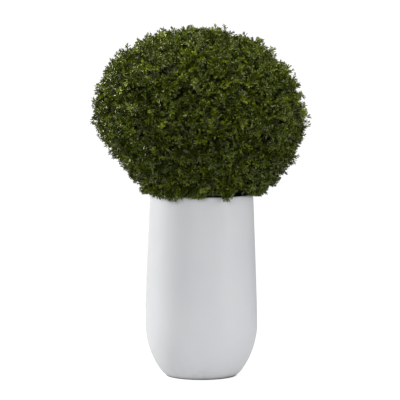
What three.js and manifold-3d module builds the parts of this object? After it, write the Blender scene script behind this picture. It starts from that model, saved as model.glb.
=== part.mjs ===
// A clipped box ball in a tall white planter, at life size, in millimetres, with +Z up.
// The origin is the centre of the planter's flat underside, and the ground is z = 0.
// -Y is the front. The ball is one clipped mass on a short trunk that the leaves hide.
import * as THREE from "three";
import { mergeVertices } from "three/addons/utils/BufferGeometryUtils.js";
import Module from "manifold-3d";

const wasm = await Module();
wasm.setup();

// The planter: a tall shell that widens a little from the rim to the belly, then turns in to its foot.
const planter = {
  height: 584,
  rimRadius: 166,
  bellyRadius: 180,
  bellyHeight: 168,
  wallBow: 1.15, // 1 is a straight wall between rim and belly
  footArcRadius: 254,
  footEdgeHeight: 6, // where the wall's arc ends, over the rounded edge of the foot
  footEdge: { radius: 114.5, height: 1.2 },
  footFlatRadius: 109,
  wallThickness: 8,
  floorThickness: 12,
  segments: 60,
};

// The potting soil fills the planter to just under the rim.
const soil = {
  topHeight: 546,
  edgeDrop: 7,
  level: 60, // radius of the level ground round the trunk
};

// The short trunk, from the soil to its fork inside the ball.
const trunk = {
  forkHeight: 700,
  footRadius: 21,
  forkRadius: 16,
  flareRadius: 33,
  flareHeight: 26,
  flareLobes: 5,
  flareLobeDepth: 0.13,
  lean: 9, // how far the fork stands to the left of the foot
  sides: 15,
  rings: 9,
};

// The ball's outline. It is rounded over the top, and below its widest line it tapers to the rim.
const crown = {
  widestHeight: 806,
  halfWidth: 345,
  upperHeight: 313,
  upperPower: 2.2, // 2 is half an ellipsoid, and more is fuller
  lowerReach: 403,
  lowerPower: 1.33,
  lowest: 566, // the lowest leaf tips, which hang over the rim
  sway: 13, // furthest sideways shift, to the left above swayHeight and to the right below
  swayHeight: 790,
  swayPeriod: 800,
  lumpDepth: 0.012,
  heartHeight: 770, // where the directions of the twigs are counted from
  thinning: 0.45, // how much less deep the layer of leaves is straight below the heart
};

// Each level spreads its limbs evenly over the ball, and each limb springs from the nearest one of the
// level before it. A limb ends at a share of the way to the outline, less a depth.
const growth = {
  seed: 41,
  levels: [
    { name: "bough", count: 9, share: 0.3, depth: 0, radius: 10, wander: 0.12 },
    { name: "branch", count: 42, share: 0.55, depth: 0, radius: 6, wander: 0.1 },
    { name: "twig", count: 122, share: 1, depth: 20, radius: 5, wander: 0.25 },
  ],
  depthSpread: 6,
  tipTaper: 0.7,
};

// The solid heart of the clipped mass, which the twigs and leaves stand out of.
const core = { depth: 34, detail: 4, underside: 588, trunkGap: 4 };

// Each leaf is larger than life and stands for a spray. They leave a twig in threes, one through each side.
const leaf = { length: 66, width: 37, thickness: 3.2, widestAt: 0.55, ridge: [0.3, 0.72] };
const leafTrims = [1, 0.88, 0.76, 0.64, 0.52]; // the shears leave some leaves shorter
const leafWhorls = [
  { back: 8, angle: 72, turn: -20, size: 1 },
  { back: 3, angle: 48, turn: 6, size: 0.8 },
];

const fewestLeaves = 2; // a twig with less room than this for its leaves is left out
const hiddenMouth = { radius: 146, height: 634 }; // no twig ends here, low over the planter's mouth
const seatGap = 0.3; // between pieces that rest on each other
const potClearance = 4; // from a leaf or a twig's axis to the planter
const up = new THREE.Vector3(0, 0, 1);
const heart = new THREE.Vector3(0, 0, crown.heartHeight);

// A repeatable stream of numbers from 0 to 1.
function seededNumbers(seed) {
  let state = seed >>> 0;
  return () => {
    state = (state + 0x6d2b79f5) >>> 0;
    let mixed = Math.imul(state ^ (state >>> 15), state | 1);
    mixed ^= mixed + Math.imul(mixed ^ (mixed >>> 7), mixed | 61);
    return ((mixed ^ (mixed >>> 14)) >>> 0) / 4294967296;
  };
}

// A closed geometry as a solid, with its shared vertices merged.
function solidFrom(geometry) {
  const bare = geometry.index ? geometry.toNonIndexed() : geometry.clone();
  for (const name of Object.keys(bare.attributes)) {
    if (name !== "position") bare.deleteAttribute(name);
  }
  const merged = mergeVertices(bare, 1e-3);
  return new wasm.Manifold(
    new wasm.Mesh({
      numProp: 3,
      vertProperties: merged.attributes.position.array,
      triVerts: new Uint32Array(merged.index.array),
    }),
  );
}

// A solid back as a three.js geometry.
function geometryFrom(solid) {
  const mesh = solid.getMesh();
  return new THREE.BufferGeometry()
    .setAttribute("position", new THREE.BufferAttribute(mesh.vertProperties, 3))
    .setIndex(new THREE.BufferAttribute(mesh.triVerts, 1));
}

// A geometry from corner points and the faces between them.
function facesBetween(corners, faces) {
  const geometry = new THREE.BufferGeometry();
  const numbers = corners.flatMap((corner) => corner.toArray());
  geometry.setAttribute("position", new THREE.Float32BufferAttribute(numbers, 3));
  geometry.setIndex(faces.flat());
  return geometry;
}

// A closed skin over a row of rings with the same number of points, from the first ring to the last.
function loft(rings) {
  const sides = rings[0].length;
  const last = rings.length - 1;
  const centreOf = (ring) => ring.reduce((sum, p) => sum.add(p), new THREE.Vector3()).divideScalar(sides);
  const corners = [...rings.flat(), centreOf(rings[0]), centreOf(rings[last])];
  const startCentre = rings.length * sides;
  const faces = [];
  for (let side = 0; side < sides; side++) {
    const next = (side + 1) % sides;
    faces.push([startCentre, next, side]);
    faces.push([startCentre + 1, last * sides + side, last * sides + next]);
    for (let ring = 0; ring < last; ring++) {
      const low = ring * sides;
      const high = low + sides;
      faces.push([low + side, low + next, high + next], [low + side, high + next, high + side]);
    }
  }
  return facesBetween(corners, faces);
}

function lathe(profile) {
  const points = profile.map(([radius, height]) => new THREE.Vector2(radius, height));
  return new THREE.LatheGeometry(points, planter.segments).rotateX(Math.PI / 2);
}

// The planter's outer radius at a height, moved in by an inset measured square to the wall.
function wallRadius(height, inset = 0) {
  const { bellyHeight, bellyRadius, rimRadius, footArcRadius } = planter;
  if (height < bellyHeight) {
    const drop = bellyHeight - height;
    return bellyRadius - footArcRadius + Math.sqrt((footArcRadius - inset) ** 2 - drop ** 2);
  }
  const rise = (height - bellyHeight) / (planter.height - bellyHeight);
  return bellyRadius - inset - (bellyRadius - rimRadius) * rise ** planter.wallBow;
}

// Points up the wall between two heights, closer together where the wall turns in to its foot.
function wallPoints(from, to, inset, footSteps, wallSteps) {
  const { bellyHeight } = planter;
  const points = [];
  for (let i = 0; i < footSteps; i++) {
    const height = from + (bellyHeight - from) * Math.sin((i / footSteps) * (Math.PI / 2));
    points.push([wallRadius(height, inset), height]);
  }
  for (let i = 0; i <= wallSteps; i++) {
    const height = bellyHeight + (to - bellyHeight) * (i / wallSteps);
    points.push([wallRadius(height, inset), height]);
  }
  return points;
}

function makePlanter() {
  const { wallThickness, floorThickness, footFlatRadius, footEdge, footEdgeHeight, height } = planter;
  const lipRadius = wallThickness / 2;
  const lipHeight = height - lipRadius;
  const lipCentre = wallRadius(lipHeight) - lipRadius;
  const lipSteps = 5;
  const lip = [];
  for (let i = 1; i < lipSteps; i++) {
    const turn = (i / lipSteps) * Math.PI;
    lip.push([lipCentre + lipRadius * Math.cos(turn), lipHeight + lipRadius * Math.sin(turn)]);
  }
  const foot = [[0, 0], [footFlatRadius, 0], [footEdge.radius, footEdge.height]];
  const outside = wallPoints(footEdgeHeight, lipHeight, 0, 9, 5);
  const inside = wallPoints(floorThickness, lipHeight, wallThickness, 6, 3).reverse();
  return lathe([...foot, ...outside, ...lip, ...inside, [0, floorThickness]]);
}

function makeSoil() {
  const bottom = planter.floorThickness + seatGap;
  const edgeHeight = soil.topHeight - soil.edgeDrop;
  const side = wallPoints(bottom, edgeHeight, planter.wallThickness + seatGap, 6, 3);
  return lathe([[0, bottom], ...side, [soil.level, soil.topHeight], [0, soil.topHeight]]);
}

// The trunk's outline at a height. It leans to the left as it rises.
function trunkRing(height, extra = 0, lobed = true) {
  const foot = soil.topHeight + seatGap;
  const rise = (height - foot) / (trunk.forkHeight - foot);
  const flare = Math.exp(-(height - foot) / trunk.flareHeight);
  const straight = THREE.MathUtils.lerp(trunk.footRadius, trunk.forkRadius, rise);
  const points = [];
  for (let i = 0; i < trunk.sides; i++) {
    const turn = (i / trunk.sides) * 2 * Math.PI;
    const lobe = lobed ? trunk.flareLobeDepth * Math.sin(trunk.flareLobes * turn + 0.7) * (0.25 + flare) : 0;
    const radius = (straight + (trunk.flareRadius - trunk.footRadius) * flare) * (1 + lobe) + extra;
    const centre = new THREE.Vector3(-trunk.lean * rise, 0, height);
    points.push(centre.add(new THREE.Vector3(radius * Math.cos(turn), radius * Math.sin(turn), 0)));
  }
  return points;
}

function makeTrunk() {
  const foot = soil.topHeight + seatGap;
  const rings = [];
  for (let i = 0; i < trunk.rings; i++) {
    const share = (i / (trunk.rings - 1)) ** 1.6; // closer together in the root flare
    rings.push(trunkRing(THREE.MathUtils.lerp(foot, trunk.forkHeight, share)));
  }
  return loft(rings);
}

// The ball's half width at a height, before its lumps.
function crownHalfWidth(height) {
  const { widestHeight, halfWidth, upperHeight, upperPower, lowerReach, lowerPower } = crown;
  const above = height - widestHeight;
  if (above < 0) return halfWidth * (1 - (-above / lowerReach) ** lowerPower);
  return halfWidth * Math.max(0, 1 - (above / upperHeight) ** upperPower) ** (1 / upperPower);
}

// Shallow swellings and hollows that the shears leave, as a share of the reach.
function crownLump(direction) {
  const { x, y, z } = direction;
  const broad = Math.sin(5.3 * x + 2.1) * Math.sin(4.7 * y + 0.6) + Math.sin(6.1 * z - 3.9 * x + 1.2);
  const fine = Math.sin(11.3 * x - 7.9 * z) * Math.sin(12.7 * y + 3.1);
  return 1 + crown.lumpDepth * (0.5 * broad + 0.35 * fine);
}

// Whether a point is inside the clipped outline, before its lumps.
function insideCrown(point) {
  const shift = -crown.sway * Math.sin((2 * Math.PI * (point.z - crown.swayHeight)) / crown.swayPeriod);
  return point.z > crown.lowest && Math.hypot(point.x - shift, point.y) < crownHalfWidth(point.z);
}

// Whether a point stands clear of the planter and of the space inside it.
function clearOfPlanter(point) {
  const radius = Math.hypot(point.x, point.y);
  if (point.z > planter.height + potClearance) return true;
  return radius > wallRadius(Math.min(point.z, planter.height)) + potClearance;
}

// Whether the way from one point to another stands clear of the planter.
function wayIsClear(from, to) {
  return [0.15, 0.3, 0.45, 0.6, 0.75, 0.9, 1].every((share) => clearOfPlanter(from.clone().lerp(to, share)));
}

// Whether a twig stands clear of the planter and ends where it shows.
function twigFits(twig) {
  const { x, y, z } = twig.tip;
  const hidden = Math.hypot(x, y) < hiddenMouth.radius && z < hiddenMouth.height;
  return !hidden && wayIsClear(twig.from, twig.tip);
}

// How far the crown reaches from its heart in a direction.
function crownReach(direction) {
  let inner = 0;
  let outer = crown.halfWidth * 2;
  for (let i = 0; i < 24; i++) {
    const middle = (inner + outer) / 2;
    const point = heart.clone().addScaledVector(direction, middle);
    if (insideCrown(point)) inner = middle;
    else outer = middle;
  }
  return inner * crownLump(direction);
}

// The place at a share of the way to the outline, less a depth. The depths thin out toward the underside.
function placeInCrown(direction, share, depth) {
  const thinned = depth * (1 + crown.thinning * Math.min(0, direction.z));
  return heart.clone().addScaledVector(direction, crownReach(direction) * share - thinned);
}

// Directions spread evenly over the whole ball, turned a little off their places.
function spreadDirections(count, wander, random) {
  const goldenTurn = Math.PI * (3 - Math.sqrt(5));
  const spacing = Math.sqrt((4 * Math.PI) / count);
  const directions = [];
  for (let i = 0; i < count; i++) {
    const height = 1 - (2 * (i + 0.5)) / count;
    const ring = Math.sqrt(1 - height * height);
    const turn = i * goldenTurn;
    const nudge = new THREE.Vector3(random() - 0.5, random() - 0.5, random() - 0.5);
    const even = new THREE.Vector3(ring * Math.cos(turn), ring * Math.sin(turn), height);
    directions.push(even.addScaledVector(nudge, wander * spacing).normalize());
  }
  return directions;
}

function nearestLimb(limbs, direction) {
  return limbs.reduce((a, b) => (direction.dot(b.direction) > direction.dot(a.direction) ? b : a));
}

// All the limbs from the fork to the twig tips, level by level.
function growLimbs(random) {
  const fork = new THREE.Vector3(-trunk.lean, 0, trunk.forkHeight + seatGap);
  let below = [{ tip: fork, direction: up }];
  const limbs = [];
  for (const level of growth.levels) {
    const grown = [];
    for (const direction of spreadDirections(level.count, level.wander, random)) {
      const depth = level.depth + growth.depthSpread * (random() - 0.5);
      const tip = placeInCrown(direction, level.share, depth);
      const parent = nearestLimb(below, direction);
      grown.push({ from: parent.tip, tip, direction, level });
    }
    limbs.push(...grown);
    below = grown;
  }
  return limbs;
}

// A direction square to another one.
function squareTo(direction) {
  const aside = Math.abs(direction.z) > 0.9 ? new THREE.Vector3(1, 0, 0) : up;
  return new THREE.Vector3().crossVectors(direction, aside).normalize();
}

// One tapering three-sided limb from its root to its tip, with a side turned to face the given way.
function limbGeometry(limb, facing) {
  const along = limb.tip.clone().sub(limb.from).normalize();
  const other = new THREE.Vector3().crossVectors(along, facing).normalize();
  const side = new THREE.Vector3().crossVectors(other, along);
  const corners = [];
  for (const [end, taper] of [[limb.from, 1], [limb.tip, growth.tipTaper]]) {
    for (const turn of [Math.PI, Math.PI / 3, -Math.PI / 3]) {
      const offset = side.clone().multiplyScalar(Math.cos(turn)).addScaledVector(other, -Math.sin(turn));
      corners.push(end.clone().addScaledVector(offset, limb.level.radius * taper));
    }
  }
  return facesBetween(corners, limbFaces);
}

const limbFaces = [
  [0, 2, 1],
  [3, 4, 5],
  [0, 1, 4],
  [0, 4, 3],
  [1, 2, 5],
  [1, 5, 4],
  [2, 0, 3],
  [2, 3, 5],
];

// The corners of a leaf with a flat underside: its root, both edges, both ends of its ridge, and its tip.
function leafCorners(root, direction, across, size) {
  const face = new THREE.Vector3().crossVectors(across, direction).normalize();
  const at = (share, sideways, height) =>
    root
      .clone()
      .addScaledVector(direction, leaf.length * share * size)
      .addScaledVector(across, (leaf.width / 2) * sideways * size)
      .addScaledVector(face, leaf.thickness * height);
  const [low, high] = leaf.ridge;
  const edges = [at(leaf.widestAt, -1, 0), at(leaf.widestAt, 1, 0)];
  return [root, ...edges, at(low, 0, 1), at(high, 0, 1), at(1, 0, 0)];
}

const leafFaces = [
  [0, 1, 2],
  [1, 5, 2],
  [0, 2, 3],
  [0, 3, 1],
  [2, 4, 3],
  [1, 3, 4],
  [2, 5, 4],
  [1, 4, 5],
];

// Whether a leaf keeps to the crown's space, clear of the planter.
function leafFits(corners) {
  const [root, left, right, , , tip] = corners;
  const outward = tip.clone().sub(heart);
  if (outward.length() > crownReach(outward.clone().normalize())) return false;
  const ways = [[root, left], [root, right], [root, tip], [left, tip], [right, tip]];
  return ways.every(([from, to]) => wayIsClear(from, to));
}

// A twig's star of leaves.
function sprayLeaves(twig, facing, random) {
  const along = twig.tip.clone().sub(twig.from).normalize();
  const leaves = [];
  for (const whorl of leafWhorls) {
    for (const twigSide of [0, 120, 240]) {
      const angle = THREE.MathUtils.degToRad(whorl.angle + 10 * (random() - 0.5));
      const size = whorl.size * (0.92 + 0.16 * random());
      const side = facing.clone().applyAxisAngle(along, THREE.MathUtils.degToRad(twigSide + whorl.turn));
      const direction = along.clone().multiplyScalar(Math.cos(angle)).addScaledVector(side, Math.sin(angle));
      const across = new THREE.Vector3().crossVectors(side, along);
      const root = twig.tip.clone().addScaledVector(along, -whorl.back);
      const trimmed = leafTrims.map((trim) => leafCorners(root, direction, across, size * trim));
      const corners = trimmed.find(leafFits);
      if (corners) leaves.push(facesBetween(corners, leafFaces));
    }
  }
  return leaves;
}

// The mass's heart: the crown's own outline drawn in, and level underneath.
function makeCore() {
  const geometry = new THREE.IcosahedronGeometry(1, core.detail);
  const position = geometry.attributes.position;
  const point = new THREE.Vector3();
  for (let i = 0; i < position.count; i++) {
    const { x, y, z } = placeInCrown(point.fromBufferAttribute(position, i).normalize(), 1, core.depth);
    position.setXYZ(i, x, y, Math.max(z, core.underside));
  }
  return solidFrom(geometry);
}

// The room that the mass leaves for the trunk. The boughs spring from its closed end, over the fork.
function makeTrunkRoom() {
  const ends = [soil.topHeight + seatGap, trunk.forkHeight + seatGap];
  return solidFrom(loft(ends.map((height) => trunkRing(height, core.trunkGap, false))));
}

function makeFoliage() {
  const random = seededNumbers(growth.seed);
  let mass = makeCore();
  for (const limb of growLimbs(random)) {
    const along = limb.tip.clone().sub(limb.from).normalize();
    const facing = squareTo(along).applyAxisAngle(along, random() * Math.PI);
    const isTwig = limb.level.name === "twig";
    const leaves = isTwig ? sprayLeaves(limb, facing, random) : [];
    if (isTwig && (leaves.length < fewestLeaves || !twigFits(limb))) continue;
    for (const piece of [limbGeometry(limb, facing), ...leaves]) mass = mass.add(solidFrom(piece));
  }
  const bodies = mass.subtract(makeTrunkRoom()).decompose();
  return geometryFrom(bodies.reduce((a, b) => (b.volume() > a.volume() ? b : a)));
}

function namedMesh(name, geometry, color, roughness) {
  const mesh = new THREE.Mesh(geometry, new THREE.MeshStandardMaterial({ color, roughness, metalness: 0 }));
  mesh.name = name;
  return mesh;
}

const boxBall = new THREE.Group();
boxBall.name = "box_ball_in_planter";
boxBall.add(
  namedMesh("planter", makePlanter(), 0xd3d5d8, 0.5),
  namedMesh("potting_soil", makeSoil(), 0x2c2219, 0.95),
  namedMesh("trunk", makeTrunk(), 0x8a7a5e, 0.85),
  namedMesh("foliage_ball", makeFoliage(), 0x3d4a1c, 0.45),
);

export default boxBall;
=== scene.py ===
# The looks of a clipped box ball in a tall white planter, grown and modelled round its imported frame.
# Everything is in metres. The planter's foot is at the origin, +Z is up and -Y is the front.
import math

import bmesh
import bpy
import numpy as np
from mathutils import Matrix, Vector
from numpy.linalg import norm


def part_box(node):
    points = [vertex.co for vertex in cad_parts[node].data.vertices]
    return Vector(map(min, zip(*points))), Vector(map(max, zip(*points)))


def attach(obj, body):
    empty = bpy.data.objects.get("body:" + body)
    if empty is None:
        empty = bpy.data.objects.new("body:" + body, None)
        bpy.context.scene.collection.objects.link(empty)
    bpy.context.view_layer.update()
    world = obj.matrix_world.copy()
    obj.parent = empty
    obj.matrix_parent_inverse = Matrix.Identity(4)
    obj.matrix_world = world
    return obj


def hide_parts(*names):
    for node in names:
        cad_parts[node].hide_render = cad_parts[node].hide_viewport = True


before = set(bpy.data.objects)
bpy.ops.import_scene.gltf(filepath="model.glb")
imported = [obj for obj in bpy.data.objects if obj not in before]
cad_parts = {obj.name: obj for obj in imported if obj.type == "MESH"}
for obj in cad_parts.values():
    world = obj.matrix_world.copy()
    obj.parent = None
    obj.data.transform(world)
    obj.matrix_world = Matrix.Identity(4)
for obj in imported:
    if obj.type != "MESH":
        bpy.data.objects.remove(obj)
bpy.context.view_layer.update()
print("frame loaded:", ", ".join(sorted(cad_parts)))

# Camera
cameraValues = {
    "place": (-0.0042, -7.0, 1.1),
    "aim": (-0.0042, 0.0, 0.5635),
    "frameWidth": 1.28,  # across the picture at the aim
    "sensor": 36.0,  # millimetres
}


def setCamera():
    v = cameraValues
    place = Vector(v["place"])
    sight = Vector(v["aim"]) - place
    bpy.ops.object.camera_add(location=place)
    camera = bpy.context.object
    camera.name = "frontCamera"
    camera.rotation_euler = sight.to_track_quat("-Z", "Y").to_euler()
    camera.data.sensor_width = v["sensor"]
    camera.data.lens = v["sensor"] * sight.length / v["frameWidth"]
    bpy.context.scene.camera = camera


setCamera()
print("camera set")


# Modelling helpers
def clearSelection():
    if bpy.context.object is not None and bpy.context.object.mode != "OBJECT":
        bpy.ops.object.mode_set(mode="OBJECT")
    bpy.ops.object.select_all(action="DESELECT")


def selectOnly(piece):
    clearSelection()
    piece.select_set(True)
    bpy.context.view_layer.objects.active = piece


def selectVertices(test):  # in edit mode, those whose place passes the test
    bpy.ops.mesh.select_all(action="DESELECT")
    shape = bmesh.from_edit_mesh(bpy.context.object.data)
    for vertex in shape.verts:
        vertex.select = test(vertex.co)
    shape.select_flush(True)
    bmesh.update_edit_mesh(bpy.context.object.data)


def applyModifier(piece, kind, **settings):
    selectOnly(piece)
    bpy.ops.object.modifier_add(type=kind)
    modifier = piece.modifiers[-1]
    for name, value in settings.items():
        setattr(modifier, name, value)
    bpy.ops.object.modifier_apply(modifier=modifier.name)


def drawShape(name, sides, start, rings):  # each ring is its radius, height and shift along X
    clearSelection()
    lastRadius, lastHeight, lastShift = start
    place = (0, 0, lastHeight)
    bpy.ops.mesh.primitive_circle_add(vertices=sides, radius=lastRadius, fill_type="TRIFAN", location=place)
    piece = bpy.context.object
    piece.name = name
    bpy.ops.object.transform_apply(location=True, rotation=True, scale=True)
    bpy.ops.object.mode_set(mode="EDIT")
    bpy.ops.mesh.select_mode(type="VERT")
    selectVertices(lambda place: place.xy.length > start[0] / 2)
    for radius, height, shift in rings:
        move = (shift - lastShift, 0, height - lastHeight)
        bpy.ops.mesh.extrude_region_move(TRANSFORM_OT_translate={"value": move})
        grow = radius / lastRadius
        bpy.ops.transform.resize(value=(grow, grow, 1), center_override=(shift, 0, height))
        lastRadius, lastHeight, lastShift = radius, height, shift
    bpy.ops.mesh.merge(type="CENTER")  # the last ring shrinks to one point
    bpy.ops.mesh.select_all(action="SELECT")
    bpy.ops.mesh.remove_doubles(threshold=1e-5)
    bpy.ops.mesh.normals_make_consistent(inside=False)
    bpy.ops.object.mode_set(mode="OBJECT")
    selectOnly(piece)
    return piece


def copiedFaces(faces, count, corners):  # for a number of copies of a shape with so many corners
    return (faces + corners * np.arange(count)[:, None, None]).reshape(-1, 3)


def flat(numbers, kind=np.float32):
    return np.ascontiguousarray(numbers, kind).ravel()


def pieceFromArrays(name, points, triangles, values=None, marks=None):  # marks are places on the UV map
    mesh = bpy.data.meshes.new(name)
    mesh.vertices.add(len(points))
    mesh.vertices.foreach_set("co", flat(points))
    mesh.loops.add(3 * len(triangles))
    mesh.loops.foreach_set("vertex_index", flat(triangles, np.int32))
    mesh.polygons.add(len(triangles))
    mesh.polygons.foreach_set("loop_start", np.arange(0, 3 * len(triangles), 3, dtype=np.int32))
    mesh.update(calc_edges=True)
    for title, numbers in (values or {}).items():
        attribute = mesh.attributes.new(title, "FLOAT", "POINT")
        attribute.data.foreach_set("value", flat(numbers))
    if marks is not None:
        layer = mesh.uv_layers.new(name="leafMap")
        layer.data.foreach_set("uv", flat(marks[triangles.ravel()]))
    mesh.shade_smooth()
    piece = bpy.data.objects.new(name, mesh)
    bpy.context.scene.collection.objects.link(piece)
    return piece


def dress(piece, material, slot, *nodes):  # nodes are the CAD nodes that the piece stands for
    piece.data.materials.clear()
    piece.data.materials.append(material)
    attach(piece, "root")
    if nodes:
        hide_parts(*nodes)
    print(piece.name, "has", len(piece.data.polygons), "faces")


# Shader helpers
def addNode(tree, kind, place, **settings):
    node = tree.nodes.new(kind)
    node.location = place
    for name, value in settings.items():
        if name in node.bl_rna.properties:
            setattr(node, name, value)
        else:
            node.inputs[name].default_value = value
    return node


def makeGrainGroup():  # a noise, stretched between a low and a high value into a mask from 0 to 1
    group = bpy.data.node_groups.new("grainMask", "ShaderNodeTree")
    group.interface.new_socket(name="Vector", in_out="INPUT", socket_type="NodeSocketVector")
    for name in ("Scale", "Detail", "Low", "High"):
        group.interface.new_socket(name=name, in_out="INPUT", socket_type="NodeSocketFloat")
    group.interface.new_socket(name="Mask", in_out="OUTPUT", socket_type="NodeSocketFloat")
    given = addNode(group, "NodeGroupInput", (-600, 0))
    noise = addNode(group, "ShaderNodeTexNoise", (-400, 0))
    stretch = addNode(group, "ShaderNodeMapRange", (-200, 0))
    result = addNode(group, "NodeGroupOutput", (0, 0))
    link = group.links.new
    for name in ("Vector", "Scale", "Detail"):
        link(given.outputs[name], noise.inputs[name])
    link(noise.outputs["Fac"], stretch.inputs["Value"])
    link(given.outputs["Low"], stretch.inputs["From Min"])
    link(given.outputs["High"], stretch.inputs["From Max"])
    link(stretch.outputs["Result"], result.inputs["Mask"])
    return group


grainGroup = makeGrainGroup()


class Finish:  # one material, with its nodes laid out from left to right
    def __init__(self, name, specular):
        self.material = bpy.data.materials.new(name)
        self.material.use_nodes = True
        self.tree = self.material.node_tree
        self.shader = self.tree.nodes["Principled BSDF"]
        self.shader.inputs["Specular IOR Level"].default_value = specular
        self.column = -2400  # where the last node stands in the editor
        self.objectPlace = self.add("ShaderNodeTexCoord").outputs["Object"]

    def add(self, kind, **settings):
        self.column += 140
        return addNode(self.tree, kind, (self.column, 0), **settings)

    def join(self, source, target):
        self.tree.links.new(source, target)

    def through(self, kind, source, target, result, **settings):  # adds a node for one source
        node = self.add(kind, **settings)
        self.join(source, node.inputs[target])
        return node.outputs[result]

    def grain(self, scale, low=0.35, high=0.65, detail=4, place=None):  # scale is in lumps a metre
        values = {"node_tree": grainGroup, "Scale": scale, "Detail": detail, "Low": low, "High": high}
        return self.through("ShaderNodeGroup", place or self.objectPlace, "Vector", "Mask", **values)

    def stretched(self, x, y, z):
        return self.through("ShaderNodeMapping", self.objectPlace, "Vector", "Vector", Scale=(x, y, z))

    def blend(self, mask, first, second, share=1.0):  # first and second are colours or colour outputs
        mix = self.add("ShaderNodeMix", data_type="RGBA")
        for value, target in zip((first, second), [s for s in mix.inputs if s.type == "RGBA"]):
            if isinstance(value, tuple):
                target.default_value = (*value, 1)
            else:
                self.join(value, target)
        self.join(self.scaled(mask, 0, share), mix.inputs["Factor"])
        return next(s for s in mix.outputs if s.type == "RGBA")

    def scaled(self, mask, low, high):  # low where the mask is 0 and high where it is 1
        ends = {"To Min": low, "To Max": high}
        return self.through("ShaderNodeMapRange", mask, "Value", "Result", **ends)

    def band(self, value, start, end):  # 0 at start and 1 at end
        ends = {"interpolation_type": "SMOOTHSTEP", "From Min": start, "From Max": end}
        return self.through("ShaderNodeMapRange", value, "Value", "Result", **ends)

    def times(self, first, second):
        product = self.add("ShaderNodeMath", operation="MULTIPLY")
        self.join(first, product.inputs[0])
        self.join(second, product.inputs[1])
        return product.outputs["Value"]

    def bump(self, height, distance, strength, under=None):
        bump = self.add("ShaderNodeBump", Distance=distance, Strength=strength)
        self.join(height, bump.inputs["Height"])
        if under is not None:
            self.join(under, bump.inputs["Normal"])
        return bump.outputs["Normal"]

    def finish(self, colour, roughness, normal):
        for source, target in ((colour, "Base Color"), (roughness, "Roughness"), (normal, "Normal")):
            self.join(source, self.shader.inputs[target])
        self.shader.location = (self.column + 200, 0)
        return self.material


# Planter
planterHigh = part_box("planter")[1]
planterValues = {
    "height": planterHigh.z,
    "bellyRadius": planterHigh.x,
    "rimRadius": 0.166,
    "bellyHeight": 0.168,
    "wallBow": 1.15,  # 1 is a straight wall between rim and belly
    "footArcRadius": 0.254,
    "footEdgeHeight": 0.009,
    "footEdge": (0.1125, 0.0022),  # radius and height of the point that rounds the foot's edge
    "footFlatRadius": 0.105,
    "wallThickness": 0.008,
    "floorThickness": 0.012,
    "sides": 96,
    "outsideSteps": (12, 14),  # rings of the foot's curve and of the wall
    "insideSteps": (8, 8),
    "lipSteps": 6,
    "undersideRings": (0.25, 0.5, 0.8, 0.97, 1),  # as shares of the flat's radius
    "floorRings": (0.98, 0.7, 0.4, 0.2),
    "clay": (0.75, 0.763, 0.783),
    "shadowTint": (0.695, 0.713, 0.74),
    # dust on the specks and streaks; at the foot it is also the colour of painted shade
    "dustAndShadeColour": (0.5, 0.485, 0.45),
    "footDustAndShadeTop": 0.07,  # dust and painted shade darken the foot up to here
    "streakRise": (0.3, 0.58),  # rain streaks come in between these heights
    "gloss": 0.42,  # roughness of the satin skin
    "grains": {  # scale, low, high and detail
        "clouds": (6, 0.38, 0.62, 3),
        "specks": (900, 0.66, 0.74, 2),
        "footDustAndShadePatches": (34, 0.35, 0.7, 5),
        "streaks": (26, 0.55, 0.8, 3),
        "gloss": (60, 0.3, 0.7, 5),
        "waves": (14, 0.2, 0.8, 2),
        "pores": (240, 0.62, 0.5, 2),
        "finePores": (700, 0.3, 0.7, 3),
    },
}


def wallRadius(height, inset=0.0):  # the outer wall, moved in by an inset square to it
    v = planterValues
    height = np.asarray(height, float)
    drop = np.clip(v["bellyHeight"] - height, 0, v["bellyHeight"])
    rise = np.clip((height - v["bellyHeight"]) / (v["height"] - v["bellyHeight"]), 0, None)
    arc = v["bellyRadius"] - v["footArcRadius"] + np.sqrt((v["footArcRadius"] - inset) ** 2 - drop**2)
    bow = v["bellyRadius"] - inset - (v["bellyRadius"] - v["rimRadius"]) * rise ** v["wallBow"]
    return np.where(drop > 0, arc, bow)


def wallRings(start, end, inset, footSteps, wallSteps):  # from the start height up to the end height
    belly = planterValues["bellyHeight"]
    heights = [start + (belly - start) * math.sin(i / footSteps * math.pi / 2) for i in range(footSteps)]
    heights += [belly + (end - belly) * i / wallSteps for i in range(wallSteps + 1)]
    return [(float(wallRadius(height, inset)), height, 0) for height in heights]


def modelPlanter():
    v = planterValues
    lipRadius = v["wallThickness"] / 2
    lipHeight = v["height"] - lipRadius
    lipCentre = float(wallRadius(lipHeight)) - lipRadius
    lip = []
    for i in range(1, v["lipSteps"]):
        turn = i / v["lipSteps"] * math.pi
        lip.append((lipCentre + lipRadius * math.cos(turn), lipHeight + lipRadius * math.sin(turn), 0))
    start, *under = [(v["footFlatRadius"] * share, 0, 0) for share in v["undersideRings"]]
    edge = [(*v["footEdge"], 0)]
    outside = wallRings(v["footEdgeHeight"], lipHeight, 0, *v["outsideSteps"])
    inside = wallRings(v["floorThickness"], lipHeight, v["wallThickness"], *v["insideSteps"])[::-1]
    floorRadius = inside[-1][0]
    floor = [(floorRadius * share, v["floorThickness"], 0) for share in v["floorRings"]]
    shell = drawShape("planterShell", v["sides"], start, under + edge + outside + lip + inside + floor)
    applyModifier(shell, "SUBSURF", levels=1, render_levels=1)
    bpy.ops.object.shade_smooth_by_angle(angle=math.radians(50))
    return shell


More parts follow.
